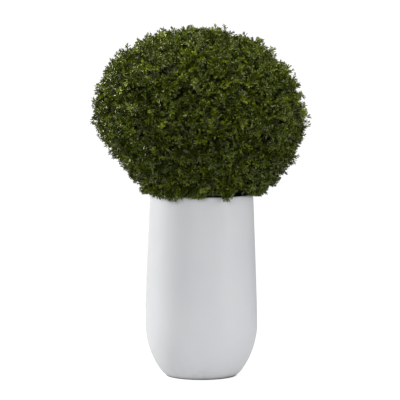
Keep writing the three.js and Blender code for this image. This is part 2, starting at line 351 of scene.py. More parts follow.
def planterFinish():
    v = planterValues
    grains = v["grains"]
    clay = Finish("whiteFibreClay", specular=0.36)
    height = clay.through("ShaderNodeSeparateXYZ", clay.objectPlace, "Vector", "Z")
    colour = clay.blend(clay.grain(*grains["clouds"]), v["clay"], v["shadowTint"], share=0.35)
    colour = clay.blend(clay.grain(*grains["specks"]), colour, v["dustAndShadeColour"], share=0.2)
    # dust and painted shade darken the foot towards the bottom, in patches
    footDustAndShade = clay.band(height, v["footDustAndShadeTop"], 0.0)
    patchyFootDustAndShade = clay.times(footDustAndShade, clay.grain(*grains["footDustAndShadePatches"]))
    colour = clay.blend(patchyFootDustAndShade, colour, v["dustAndShadeColour"], share=0.3)
    streaks = clay.grain(*grains["streaks"], place=clay.stretched(1, 1, 0.12))
    highWall = clay.band(height, *v["streakRise"])
    colour = clay.blend(clay.times(streaks, highWall), colour, v["dustAndShadeColour"], share=0.1)
    roughness = clay.scaled(clay.grain(*grains["gloss"]), v["gloss"] - 0.04, v["gloss"] + 0.07)
    waves = clay.bump(clay.grain(*grains["waves"]), distance=0.0006, strength=0.4)
    pores = clay.bump(clay.grain(*grains["pores"]), distance=0.0002, strength=0.35, under=waves)
    fine = clay.bump(clay.grain(*grains["finePores"]), distance=0.00012, strength=0.7, under=pores)
    return clay.finish(colour, roughness, fine)


planter = modelPlanter()
dress(planter, planterFinish(), "planter", "planter")
print("planter modelled")

# Potting soil
soilLow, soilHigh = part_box("potting_soil")
soilValues = {
    "edgeDrop": 0.007,
    "levelRadius": 0.06,  # the top slopes down from here to the wall
    "gap": 0.0003,
    "sides": 72,
    "sideSteps": (8, 8),
    "undersideRings": (0.25, 0.5, 0.8, 0.98),
    "topRings": 22,
    "clodHeight": 0.006,
    "clodSize": 0.018,
    "clodMargin": 0.004,  # no lumps this close to the wall
    "chips": 1500,
    "chipSize": (0.003, 0.009),
    "chipShape": (1, 0.6, 0.25),
    "chipRaggedness": (0.6, 1.15),
    "chipTilt": 0.35,  # less lies flatter
    "chipSink": 0.0015,
    "chipMargins": (0.036, 0.008),  # no chips this close to the axis or to the wall
    "seed": 7,
    "earth": (0.028, 0.019, 0.012),
    "dryEarth": (0.085, 0.058, 0.036),
    "chipBark": (0.12, 0.075, 0.045),
}


def modelSoil():
    v = soilValues
    inset = planterValues["wallThickness"] + v["gap"]
    edgeHeight = soilHigh.z - v["edgeDrop"]
    sides = wallRings(soilLow.z, edgeHeight, inset, *v["sideSteps"])
    footRadius, edgeRadius = sides[0][0], sides[-1][0]
    start, *bottom = [(footRadius * share, soilLow.z, 0) for share in v["undersideRings"]]
    top = []
    for i in range(1, v["topRings"]):
        radius = edgeRadius * (1 - i / v["topRings"])
        rise = min(1, (edgeRadius - radius) / (edgeRadius - v["levelRadius"]))
        top.append((radius, edgeHeight + v["edgeDrop"] * rise, 0))
    soil = drawShape("pottingSoil", v["sides"], start, bottom + sides + top)
    bpy.ops.object.mode_set(mode="EDIT")
    lumpRadius = edgeRadius - v["clodMargin"]
    selectVertices(lambda place: place.z > edgeHeight - 0.001 and place.xy.length < lumpRadius)
    bpy.ops.object.vertex_group_assign_new()
    bpy.ops.object.mode_set(mode="OBJECT")
    applyModifier(soil, "SUBSURF", levels=1, render_levels=1)
    lumps = bpy.data.textures.new("soilLumps", "CLOUDS")
    lumps.noise_scale = v["clodSize"]
    lumps.noise_depth = 4
    applyModifier(
        soil, "DISPLACE", texture=lumps, texture_coords="LOCAL", strength=v["clodHeight"], mid_level=0.85,
        direction="Z", vertex_group=soil.vertex_groups[0].name,
    )
    bpy.ops.object.shade_smooth_by_angle(angle=math.radians(40))
    return soil


def soilChips():  # bark chips strewn on the surface, as one mesh
    v = soilValues
    random = np.random.default_rng(v["seed"])
    count = v["chips"]
    inner, wallMargin = v["chipMargins"]
    outer = float(wallRadius(soilHigh.z, planterValues["wallThickness"])) - wallMargin
    radius = np.sqrt(random.uniform(inner**2, outer**2, count))
    turn = random.uniform(0, 2 * math.pi, count)
    rise = np.clip((outer - radius) / (outer - v["levelRadius"]), 0, 1)
    height = soilHigh.z - v["edgeDrop"] * (1 - rise) - v["chipSink"] + random.uniform(0, v["chipSink"], count)
    centre = np.stack([radius * np.cos(turn), radius * np.sin(turn), height], 1)
    axes = np.linalg.qr(random.normal(size=(count, 3, 3)) * np.array([1, 1, v["chipTilt"]]))[0]
    size = random.uniform(*v["chipSize"], (count, 1)) * np.array(v["chipShape"])
    corners = np.array([[x, y, z] for x in (-0.5, 0.5) for y in (-0.5, 0.5) for z in (-0.5, 0.5)])
    ragged = corners * random.uniform(*v["chipRaggedness"], (count, 8, 3))
    points = centre[:, None] + np.einsum("nij,nkj->nki", axes, ragged * size[:, None])
    sign = np.sign(np.linalg.det(axes))
    quads = np.array([[0, 1, 3, 2], [4, 6, 7, 5], [0, 4, 5, 1], [2, 3, 7, 6], [0, 2, 6, 4], [1, 5, 7, 3]])
    triangles = np.concatenate([quads[:, [0, 1, 2]], quads[:, [0, 2, 3]]])
    turned = np.where(sign[:, None, None] > 0, triangles[None], triangles[None, :, ::-1])
    faces = copiedFaces(turned, count, len(corners))
    chips = pieceFromArrays("soilChips", points.reshape(-1, 3), faces)
    chips.data.shade_flat()
    return chips


def soilFinish():
    v = soilValues
    earth = Finish("pottingMix", specular=0.2)
    colour = earth.blend(earth.grain(70, 0.4, 0.62, detail=6), v["earth"], v["dryEarth"])
    colour = earth.blend(earth.grain(420, 0.6, 0.68, detail=2), colour, v["chipBark"], share=0.7)
    roughness = earth.scaled(earth.grain(120), 0.82, 0.98)
    crumbs = earth.bump(earth.grain(300, 0.3, 0.7, detail=8), distance=0.0015, strength=0.8)
    return earth.finish(colour, roughness, crumbs)


def chipFinish():
    v = soilValues
    bark = Finish("barkChips", specular=0.25)
    colour = bark.blend(bark.grain(55, 0.4, 0.6, detail=2), v["chipBark"], v["dryEarth"])
    colour = bark.blend(bark.grain(500, 0.5, 0.7, detail=5), colour, v["earth"], share=0.6)
    roughness = bark.scaled(bark.grain(200), 0.7, 0.92)
    return bark.finish(colour, roughness, bark.bump(bark.grain(700), distance=0.0006, strength=0.7))


soil = modelSoil()
dress(soil, soilFinish(), "potting_soil", "potting_soil")
chips = soilChips()
dress(chips, chipFinish(), "potting_soil")
print("soil filled")

# Trunk
trunkLow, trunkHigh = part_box("trunk")
trunkValues = {
    "footRadius": 0.021,
    "forkRadius": 0.016,
    "flareRadius": 0.033,
    "flareHeight": 0.026,
    "flareLobes": 5,
    "lobeTurn": 0.7,
    "lobeEdge": 0.1,  # more is narrower lobes
    "lobeGrowth": 1.12,
    "lobeTops": (1.6, 0.8),  # of each swelling, as shares of the flare's height
    "lean": 0.009,  # how far the fork stands to the left of the foot
    "topRing": 0.5,  # as a share of the fork's radius
    "reliefStart": 0.7,  # no bark relief nearer the middle than this share of it
    "sides": 40,
    "rings": 24,
    "ringSpacing": 1.5,  # more is closer together in the root flare
    "reliefDepth": 0.0009,
    "bark": (0.21, 0.165, 0.11),
    "paleRidge": (0.4, 0.34, 0.25),
    "fissure": (0.06, 0.043, 0.028),
    "moss": (0.1, 0.13, 0.045),
}


def barkRelief(turn, along):  # ridges that run along the limb and wander round it, from -1 to 1
    long = np.sin(7 * turn + 1.9 * np.sin(31 * along) + 0.8 * np.sin(83 * along + 2))
    fine = np.sin(15 * turn - 2.3 * np.sin(47 * along + 1.3) + 61 * along)
    rings = np.sin(230 * along + 1.6 * np.sin(3 * turn + 0.4))
    return 0.5 * long + 0.32 * fine + 0.18 * rings


def flareLobe(place):  # 1 in the middle of each lobe of the root flare, and -1 between two
    v = trunkValues
    return math.sin(v["flareLobes"] * math.atan2(place.y, place.x) + v["lobeTurn"])


def modelTrunk():
    v = trunkValues
    tall = trunkHigh.z - trunkLow.z
    rings = []
    for i in range(1, v["rings"] + 1):
        rise = (i / v["rings"]) ** v["ringSpacing"]
        height = trunkLow.z + tall * rise
        flare = math.exp(-(height - trunkLow.z) / v["flareHeight"])
        straight = v["footRadius"] + (v["forkRadius"] - v["footRadius"]) * rise
        rings.append((straight + (v["flareRadius"] - v["footRadius"]) * flare, height, -v["lean"] * rise))
    rings.append((v["forkRadius"] * v["topRing"], trunkHigh.z, -v["lean"]))
    stem = drawShape("barkTrunk", v["sides"], (v["flareRadius"], trunkLow.z, 0), rings)
    bpy.ops.object.mode_set(mode="EDIT")
    grow = v["lobeGrowth"] ** 0.5
    for share in v["lobeTops"]:  # the root flare swells in lobes, most at the foot
        top = trunkLow.z + v["flareHeight"] * share
        selectVertices(lambda place: place.z < top and flareLobe(place) > v["lobeEdge"])
        bpy.ops.transform.resize(value=(grow, grow, 1), center_override=(0, 0, trunkLow.z))
    bpy.ops.object.mode_set(mode="OBJECT")
    applyModifier(stem, "SUBSURF", levels=1, render_levels=1)
    for vertex in stem.data.vertices:
        rise = (vertex.co.z - trunkLow.z) / tall
        out = Vector((vertex.co.x + v["lean"] * rise, vertex.co.y, 0))
        if out.length > v["forkRadius"] * v["reliefStart"]:
            relief = barkRelief(math.atan2(out.y, out.x), vertex.co.z)
            vertex.co += out.normalized() * float(v["reliefDepth"] * relief)
    bpy.ops.object.shade_smooth_by_angle(angle=math.radians(60))
    return stem


def barkFinish(name, colours, mossShare):
    v = trunkValues
    bark = Finish(name, specular=0.3)
    along = bark.stretched(1, 1, 0.22)
    ridges = bark.grain(190, 0.4, 0.62, detail=5, place=along)
    colour = bark.blend(ridges, colours["bark"], colours["paleRidge"])
    cracks = bark.grain(330, 0.56, 0.66, detail=6, place=along)
    colour = bark.blend(cracks, colour, v["fissure"], share=0.75)
    colour = bark.blend(bark.grain(45, 0.55, 0.7, detail=4), colour, v["moss"], mossShare)
    roughness = bark.scaled(bark.grain(260), 0.72, 0.95)
    fibres = bark.grain(420, 0.3, 0.7, detail=7, place=along)
    return bark.finish(colour, roughness, bark.bump(fibres, distance=0.0008, strength=0.8))


trunk = modelTrunk()
dress(trunk, barkFinish("oldBoxBark", trunkValues, 0.35), "bark", "trunk")
print("trunk modelled")

# The ball's outline. It is rounded over the top, and below its widest line it tapers to the rim.
crownValues = {
    "widestHeight": 0.806,
    "halfWidth": 0.345,
    "upperHeight": 0.31,
    "upperPower": 2.13,  # 2 is half an ellipsoid, and more is fuller
    "lowerReach": 0.403,
    "lowerPower": 1.33,
    "lowest": 0.566,
    "sway": 0.013,  # to the left above swayHeight and to the right below
    "swayHeight": 0.79,
    "swayPeriod": 0.64,
    "lumpDepth": 0.012,
    "thinning": 0.45,  # how much thinner the layer of leaves is straight below
    "halvings": 24,  # of the reach, to find the outline
}
heart = np.array([0, 0, 0.77])  # where the directions of the twigs are counted from

# Each level spreads its limbs over the ball, and each springs from the nearest one of its parents' level. It
# ends at a share of the way from the heart to the outline, less a depth that differs by spread. Wander is how
# uneven the places are. A few stray further out, and some follow how far their parent stands in or out and
# gather round it.
growthValues = {
    "seed": 41,
    "levels": {
        "bough": {"on": "fork", "count": 9, "share": 0.3, "wander": 0.12, "spread": 0.006},
        "branch": {"on": "bough", "count": 42, "share": 0.55, "wander": 0.1, "spread": 0.006},
        "twig": {"on": "branch", "count": 122, "depth": 0.02, "wander": 0.25, "spread": 0.006},
        "sprig": {"on": "twig", "count": 820, "depth": 0.015, "wander": 0.6, "spread": 0.0165},
        "shoot": {
            "on": "sprig", "count": 7400, "depth": 0.0217, "wander": 0.7, "spread": 0.013,
            "stray": 0.023, "follow": 1.25, "gather": 0.06,
        },
        "innerShoot": {"on": "twig", "count": 2900, "depth": 0.052, "wander": 0.7, "spread": 0.03},
    },
    "stemRun": 0.02,  # of the straight stem under the fork
    "strayPower": 7,  # more makes strays fewer
    "sideLevels": ("sprig", "shoot", "innerShoot"),  # these leave their parent along its length
    "slant": 1.1,  # how far back along the parent they leave it, for each metre out
    "leavingShares": (0.12, 0.96),
    "bendReach": 0.4,  # as a share of the limb's span
    "checked": (0.15, 1, 8),  # shares from and to which a limb stays clear, and places to look at
    "potClearance": 0.0025,
    "leafClearance": 0.0015,
    "mouthRadius": 0.138,  # nothing leafy ends here, low over the planter's mouth
    "mouthHeight": 0.622,
}

# How low the leaves hang round the rim, as heights at turns counted from the right, with the front at 270.
skirtValues = {
    0: 0.573, 25: 0.58, 60: 0.573, 90: 0.58, 120: 0.586, 150: 0.574, 180: 0.581, 197: 0.583, 217: 0.583,
    221: 0.573, 228: 0.573, 233: 0.568, 248: 0.568, 253: 0.582, 258: 0.577, 272: 0.577, 277: 0.588, 289: 0.59,
    292: 0.567, 299: 0.569, 302: 0.588, 306: 0.604, 315: 0.606, 321: 0.59, 328: 0.582, 342: 0.578,
}

# Sprays that hang outside the rim. They end between two radii, just over the skirt or up to spread higher.
hangingValues = {"count": 210, "radius": (0.176, 0.19), "over": 0.001, "spread": 0.022, "arch": 0.006}


def seededNumbers(seed):  # a repeatable stream of numbers from 0 to 1
    state = seed
    low32 = 0xFFFFFFFF

    def draw(count):
        nonlocal state
        numbers = []
        for _ in range(count):
            state = (state + 0x6D2B79F5) & low32
            mixed = ((state ^ (state >> 15)) * (state | 1)) & low32
            mixed ^= (mixed + ((mixed ^ (mixed >> 7)) * (mixed | 61))) & low32
            numbers.append((mixed ^ (mixed >> 14)) / (low32 + 1))
        return np.array(numbers)

    return draw


def unit(vectors):
    return vectors / norm(vectors, axis=-1, keepdims=True)


def crownHalfWidth(height):  # before the sway and the lumps
    v = crownValues
    above = height - v["widestHeight"]
    lower = 1 - (np.clip(-above, 0, None) / v["lowerReach"]) ** v["lowerPower"]
    rounded = 1 - (np.clip(above, 0, None) / v["upperHeight"]) ** v["upperPower"]
    upper = np.clip(rounded, 0, None) ** (1 / v["upperPower"])
    return v["halfWidth"] * np.where(above < 0, lower, upper)


def crownLump(directions):  # shallow swellings and hollows that the shears leave
    x, y, z = np.moveaxis(directions, -1, 0)
    broad = np.sin(5.3 * x + 2.1) * np.sin(4.7 * y + 0.6) + np.sin(6.1 * z - 3.9 * x + 1.2)
    fine = np.sin(11.3 * x - 7.9 * z) * np.sin(12.7 * y + 3.1)
    return 1 + crownValues["lumpDepth"] * (0.5 * broad + 0.35 * fine)


def insideCrown(points):
    v = crownValues
    x, y, z = np.moveaxis(points, -1, 0)
    shift = -v["sway"] * np.sin(2 * math.pi * (z - v["swayHeight"]) / v["swayPeriod"])
    return (z > v["lowest"]) & (np.hypot(x - shift, y) < crownHalfWidth(z))


def crownReach(directions):  # from the heart to the outline
    v = crownValues
    inner = np.zeros(directions.shape[:-1])
    outer = np.full(directions.shape[:-1], v["halfWidth"] * 2)
    for _ in range(v["halvings"]):
        middle = (inner + outer) / 2
        isInside = insideCrown(heart + directions * middle[..., None])
        inner = np.where(isInside, middle, inner)
        outer = np.where(isInside, outer, middle)
    return inner * crownLump(directions)


def placeInCrown(directions, share, depth):
    thinned = depth * (1 + crownValues["thinning"] * np.minimum(0, directions[:, 2]))
    return heart + directions * (crownReach(directions) * share - thinned)[:, None]


def clearOfPlanter(points, clearance):  # over the rim, or outside the wall
    radius = norm(points[..., :2], axis=-1)
    height = points[..., 2]
    rim = planterValues["height"]
    return (height > rim + clearance) | (radius > wallRadius(np.minimum(height, rim)) + clearance)


def skirtHeight(turn):
    return np.interp(np.degrees(turn) % 360, list(skirtValues), list(skirtValues.values()), period=360)


def aboveSkirt(points):
    return points[..., 2] > skirtHeight(np.arctan2(points[..., 1], points[..., 0]))


def inHiddenMouth(points):
    v = growthValues
    radius = norm(points[..., :2], axis=-1)
    return (radius < v["mouthRadius"]) & (points[..., 2] < v["mouthHeight"])


def spreadDirections(count, wander, random):  # a spiral over the ball, with each one nudged
    index = np.arange(count)
    height = 1 - 2 * (index + 0.5) / count
    ring = np.sqrt(1 - height * height)
    turn = index * math.pi * (3 - math.sqrt(5))  # the golden angle
    even = np.stack([ring * np.cos(turn), ring * np.sin(turn), height], 1)
    nudge = (random(3 * count) - 0.5).reshape(-1, 3)
    return unit(even + nudge * wander * math.sqrt(4 * math.pi / count))


def curvePoints(limbs, share):  # places at shares of the way along the limbs, and how they run there
    root, bend, tip = (limbs[name][:, None] for name in ("root", "bend", "tip"))
    t = np.asarray(share, float).reshape(len(limbs["root"]), -1, 1)
    place = (1 - t) ** 2 * root + 2 * t * (1 - t) * bend + t**2 * tip
    way = 2 * (1 - t) * (bend - root) + 2 * t * (tip - bend)
    return place, unit(way)


def growFrom(below, parent, tip, isSide):  # limbs that leave their parents at the end, or along the side
    v = growthValues
    chosen = {part: below[part][parent] for part in ("root", "bend", "tip")}
    leaving = np.ones(len(tip))
    if isSide:
        chord = chosen["tip"] - chosen["root"]
        length = norm(chord, axis=1)
        out = tip - chosen["root"]
        run = np.sum(out * unit(chord), axis=1)
        aside = norm(out - unit(chord) * run[:, None], axis=1)
        leaving = np.clip((run - v["slant"] * aside) / length, *v["leavingShares"])
    root, way = (part[:, 0] for part in curvePoints(chosen, leaving))
    span = norm(tip - root, axis=1, keepdims=True)
    bend = root + (way * 0.5 + unit(tip - root) * 0.5) * span * v["bendReach"]
    return {"root": root, "bend": bend, "tip": tip}


def clearLimbs(limbs):  # without those that would run into the planter or end out of place
    shares = np.linspace(*growthValues["checked"])
    places, _ = curvePoints(limbs, np.tile(shares, (len(limbs["tip"]), 1)))
    kept = np.all(clearOfPlanter(places, growthValues["potClearance"]), axis=1)
    kept &= ~inHiddenMouth(limbs["tip"]) & aboveSkirt(limbs["tip"])
    return {part: values[kept] for part, values in limbs.items()}


def growLevel(name, below, random):
    v = growthValues
    level = v["levels"][name]
    directions = spreadDirections(level["count"], level["wander"], random)
    chance = random(level["count"])
    parent = np.argmax(directions @ below["direction"].T, axis=1)
    directions = unit(directions + level.get("gather", 0) * below["direction"][parent])
    lag = level["spread"] * (chance - 0.5) + level.get("follow", 0) * below["lag"][parent]
    lag -= level.get("stray", 0) * (1 - chance) ** v["strayPower"]
    tip = placeInCrown(directions, level.get("share", 1), level.get("depth", 0) + lag)
    grown = growFrom(below, parent, tip, name in v["sideLevels"])
    grown.update({"direction": directions, "lag": lag})
    return grown if name in ("bough", "branch") else clearLimbs(grown)


def hangOverRim(below, random):  # sprays outside the rim, as low as the skirt lets them
    v = hangingValues
    count = v["count"]
    place = np.arange(count) + 0.5 + (random(count) - 0.5)
    turn = np.radians(place * 360 / count)
    low, high = v["radius"]
    radius = low + (high - low) * random(count)
    height = skirtHeight(turn) + v["over"] + v["spread"] * random(count)
    tip = np.stack([radius * np.cos(turn), radius * np.sin(turn), height], 1)
    parent = np.argmin(norm(below["tip"][None] - tip[:, None], axis=2), axis=1)
    hanging = growFrom(below, parent, tip, True)
    hanging["bend"] += unit(tip * [1, 1, 0]) * v["arch"] + [0, 0, v["arch"] * 0.5]
    return clearLimbs(hanging)


def growLimbs():
    random = seededNumbers(growthValues["seed"])
    fork = np.array([[-trunkValues["lean"], 0, trunkHigh.z]])
    upward = np.array([[0, 0, 1.0]])
    run = upward * growthValues["stemRun"]
    limbs = {"fork": {"root": fork - run, "bend": fork - run / 2, "tip": fork}}
    limbs["fork"].update({"direction": upward, "lag": np.zeros(1)})
    for name, level in growthValues["levels"].items():
        limbs[name] = growLevel(name, limbs[level["on"]], random)
        print(name, "level has", len(limbs[name]["tip"]), "limbs")
    limbs["hanging"] = hangOverRim(limbs["sprig"], random)
    print("over the rim hang", len(limbs["hanging"]["tip"]), "sprays")
    return limbs


limbs = growLimbs()

# Boughs, branches and twigs, as tapering tubes
limbValues = {
    "tubes": {  # radius at the root and at the tip, sides, rings and depth of the bark
        "bough": (0.0115, 0.0075, 16, 30, 0.0006),
        "branch": (0.0065, 0.004, 11, 26, 0.0003),
        "twig": (0.0034, 0.0016, 7, 12, 0),
        "sprig": (0.0015, 0.0007, 5, 6, 0),
        "shoot": (0.0009, 0.0005, 3, 2, 0),
        "innerShoot": (0.0012, 0.0006, 3, 1, 0),
        "hanging": (0.0011, 0.0005, 4, 5, 0),
    },
    "barkStart": 0.37,  # how much further along the bark's pattern each limb starts
    "bulges": (0.5, 0.7),  # of the two ends, as shares of their radius
    "bark": (0.2, 0.165, 0.085),
    "paleRidge": (0.32, 0.28, 0.15),
    "shootGreen": (0.12, 0.15, 0.03),
    "shootPale": (0.22, 0.23, 0.07),
}


def squareTo(way, reference):  # two directions that are square to each way and to each other
    aside = np.where(np.abs(reference[..., 2:]) > 0.8, [1.0, 0, 0], [0, 0, 1.0])
    side = unit(np.cross(way, aside))
    return side, np.cross(way, side)


def tubeArrays(name):
    rootRadius, tipRadius, sides, ringCount, depth = limbValues["tubes"][name]
    rootBulge, tipBulge = limbValues["bulges"]
    count = len(limbs[name]["root"])
    share = np.linspace(0, 1, ringCount + 1)
    place, way = curvePoints(limbs[name], np.tile(share, (count, 1)))
    chord = limbs[name]["tip"] - limbs[name]["root"]
    side, other = squareTo(way, unit(chord)[:, None])
    turn = np.linspace(0, 2 * math.pi, sides, endpoint=False)
    start = np.arange(count)[:, None] * limbValues["barkStart"]
    along = share * norm(chord, axis=1)[:, None] + start
    relief = depth * barkRelief(turn, along[..., None])
    radius = (rootRadius + (tipRadius - rootRadius) * share)[None, :, None] + relief
    spokes = np.cos(turn)[:, None] * side[:, :, None] + np.sin(turn)[:, None] * other[:, :, None]
    rings = place[:, :, None] + spokes * radius[..., None]
    foot = place[:, 0] - way[:, 0] * rootRadius * rootBulge
    point = place[:, -1] + way[:, -1] * tipRadius * tipBulge
    points = np.concatenate([rings.reshape(count, -1, 3), foot[:, None], point[:, None]], 1)
    last = ringCount * sides  # where the last ring starts, with the foot and the point after it
    triangles = []
    for i in range(sides):
        j = (i + 1) % sides
        triangles += [(last + sides, j, i), (last + sides + 1, last + i, last + j)]
        for ring in range(ringCount):
            a, b = ring * sides, (ring + 1) * sides
            triangles += [(a + i, a + j, b + j), (a + i, b + j, b + i)]
    return points.reshape(-1, 3), copiedFaces(np.array(triangles), count, points.shape[1])


def tubePiece(pieceName, levelNames):
    points, triangles, start = [], [], 0
    for name in levelNames:
        somePoints, someTriangles = tubeArrays(name)
        points.append(somePoints)
        triangles.append(someTriangles + start)
        start += len(somePoints)
    return pieceFromArrays(pieceName, np.concatenate(points), np.concatenate(triangles))


def shootFinish():
    v = limbValues
    green = Finish("greenShoots", specular=0.35)
    colour = green.blend(green.grain(90, detail=3), v["shootGreen"], v["shootPale"])
    roughness = green.scaled(green.grain(300), 0.5, 0.7)
    return green.finish(colour, roughness, green.bump(green.grain(1500), distance=0.0001, strength=0.5))


boughs = tubePiece("boughs", ("bough", "branch"))
dress(boughs, barkFinish("boughBark", trunkValues, 0.15), "bark", "foliage_ball")
twigs = tubePiece("twigs", ("twig", "sprig"))
dress(twigs, barkFinish("twigBark", limbValues, 0.1), "bark", "foliage_ball")
shoots = tubePiece("shoots", ("shoot", "innerShoot", "hanging"))
dress(shoots, shootFinish(), "box_leaves", "foliage_ball")
print("limbs grown")

# Leaves, in pairs that are each turned a quarter from the last, with a small star at the tip
leafValues = {
    "length": 0.0131,
    "width": 0.0047,
    "pairs": (0.0005, 0.0032, 0.0063, 0.0098, 0.0135, 0.0175, 0.0218, 0.0264),  # back from the tip
    "pitch": (19, 32, 43, 51, 57, 62, 66, 70),  # degrees out from the shoot
    "sizes": (0.8, 0.95, 1, 1.02, 1, 0.98, 0.95, 0.9),
    "pitchSpread": 30,
    "turnSpread": 34,
    "rollSpread": 80,
    "sizeSpread": 0.3,
    "pairSpread": (0.85, 1.15),  # how much closer or wider the pairs stand
    "bareShare": 0.04,  # no leaves this near a shoot's root
    "proud": 0.016,  # how far a tip may stand out of the outline
    "trims": (1, 0.8, 0.62),  # the shears leave some leaves shorter
    "innerPairs": (0.002, 0.009, 0.017, 0.026, 0.036, 0.047),
    "lowerPairs": (0.036, 0.043, 0.05, 0.058, 0.067, 0.077, 0.088),  # on the sprigs' bare lower part
    "innerPitch": 58,
    "innerSize": 2.4,
    "paintedShadeLow": 0.15,  # painted shade: how far the colours lean to the dark ones low in the ball
    "paintedShadeBelow": 0.98,
    "paintedShadeDepth": 0.3,  # full this far down
    "tipPaleAndLit": 0.55,  # how much paler leaves near the tip are: paler new growth, and painted light on the tips with painted shade further back
    "shadeRange": (0.38, 1.55),  # darkest and palest, as shares of the spray's colour
    "underside": (1.35, 0.003),  # that colour times the first, plus the second
    "shine": (0.97, 1, 0.62),  # tint of the leaves' reflections
    "rib": (0.4, 0.5, 0.6),  # where the pale rib starts, is palest and ends
    "seed": 20,
}
# Corners of a leaf: along, across and above it, as shares of its length, half width and length. The last is
# the tip. The leaves inside are simpler.
leafShape = np.array([
    (0, 0, 0), (0.34, -0.92, -0.05), (0.72, -0.8, -0.085), (0.34, 0.92, -0.05), (0.72, 0.8, -0.085),
    (0.5, 0, 0.03), (1, 0, -0.1),
])
leafFaces = np.array([[0, 3, 5], [3, 4, 5], [4, 6, 5], [0, 5, 1], [1, 5, 2], [2, 5, 6]])
innerShape = np.array([(0, 0, 0), (0.55, -1.45, -0.08), (0.55, 1.45, -0.08), (0.5, 0, 0.03), (1, 0, -0.1)])
innerFaces = np.array([[0, 2, 3], [2, 4, 3], [0, 3, 1], [1, 3, 4]])

# The colours of the sprays, with the share of the sprays that takes each
leafColours = {
    "leavesDeep": {"share": 0.2, "top": (0.03, 0.048, 0.0018), "gloss": 0.2},
    "leavesDark": {"share": 0.25, "top": (0.05, 0.075, 0.0024), "gloss": 0.2},
    "leavesGreen": {"share": 0.27, "top": (0.084, 0.117, 0.003), "gloss": 0.21},
    "leavesOlive": {"share": 0.17, "top": (0.126, 0.157, 0.004), "gloss": 0.23},
    "leavesFresh": {"share": 0.11, "top": (0.19, 0.232, 0.007), "gloss": 0.25},
}
# the dark inner leaves: their colour is painted shade between the tufts
innerShadeColour = {"top": (0.016, 0.023, 0.002), "gloss": 0.55}


def leafRun(level, backs, pitch, size, random):  # pairs of leaves back from each limb's tip
    v = leafValues
    stems = limbs[level]
    count = len(stems["tip"])
    span = norm(stems["tip"] - stems["root"], axis=1)
    back = np.array(backs) * random.uniform(*v["pairSpread"], (count, 1))
    share = 1 - back / span[:, None]
    place, way = curvePoints(stems, np.clip(share, 0, 1))
    turn = random.uniform(0, math.pi, (count, 1)) + np.arange(len(backs)) * math.pi / 2
    side, other = squareTo(way, way)
    spray = np.tile(np.arange(count)[:, None], (1, len(backs)))
    youngAndLit = np.broadcast_to(np.linspace(1, 0, len(backs)), turn.shape)
    kept = share > v["bareShare"]

    def nudge(spread):
        return spread * (random.random(turn.shape) - 0.5)

    leaves = []
    for half in (0, math.pi):
        angle = (turn + half + nudge(np.radians(v["turnSpread"])))[..., None]
        outward = np.cos(angle) * side + np.sin(angle) * other
        rise = np.radians(np.array(pitch) + nudge(v["pitchSpread"]))[..., None]
        direction = way * np.cos(rise) + outward * np.sin(rise)
        roll = nudge(np.radians(v["rollSpread"]))[..., None]
        across = np.cross(outward, way)
        across = np.cos(roll) * across + np.sin(roll) * np.cross(direction, across)
        sizes = np.array(size) * (1 + nudge(v["sizeSpread"]))
        # tip leaves paler: new growth, with painted light at the tip and painted shade back along the shoot
        shade = random.random(turn.shape) + v["tipPaleAndLit"] * (youngAndLit - random.random(turn.shape))
        leaves.append([part[kept] for part in (place, direction, across, sizes, spray, shade)])
    return [np.concatenate(parts) for parts in zip(*leaves)]


def leafCorners(shape, root, direction, across, size):
    face = np.cross(across, direction)
    length = (leafValues["length"] * size)[:, None, None]
    halfWidth = (leafValues["width"] / 2 * size)[:, None, None]
    offset = length * (shape[:, 0:1] * direction[:, None] + shape[:, 2:3] * face[:, None])
    return root[:, None] + offset + halfWidth * shape[:, 1:2] * across[:, None]


def leafFits(corners):  # inside the outline, clear of the planter and over the skirt
    outward = corners[:, -1] - heart
    reach = crownReach(unit(outward))
    fits = norm(outward, axis=1) < reach + leafValues["proud"]
    fits &= np.all(clearOfPlanter(corners[:, 1:], growthValues["leafClearance"]), axis=1)
    return fits & aboveSkirt(corners[:, -1])


def trimmedLeaves(run, shape):  # each leaf at the largest size that fits, or none
    root, direction, across, size, spray, shade = run
    corners = np.zeros((len(root), len(shape), 3))
    isPlaced = np.zeros(len(root), bool)
    for trim in leafValues["trims"]:
        waiting = np.flatnonzero(~isPlaced)
        tried = leafCorners(shape, root[waiting], direction[waiting], across[waiting], size[waiting] * trim)
        fitting = leafFits(tried)
        corners[waiting[fitting]] = tried[fitting]
        isPlaced[waiting[fitting]] = True
    return corners[isPlaced], spray[isPlaced], shade[isPlaced]


def leafPiece(name, corners, shade, shape, faces):
    count = len(corners)
    triangles = copiedFaces(faces, count, len(shape))
    marks = np.stack([0.5 + 0.5 * shape[:, 1], shape[:, 0]], 1)
    values = {"leafShade": np.repeat(np.clip(shade, 0, 1), len(shape))}
    return pieceFromArrays(name, corners.reshape(-1, 3), triangles, values, np.tile(marks, (count, 1)))


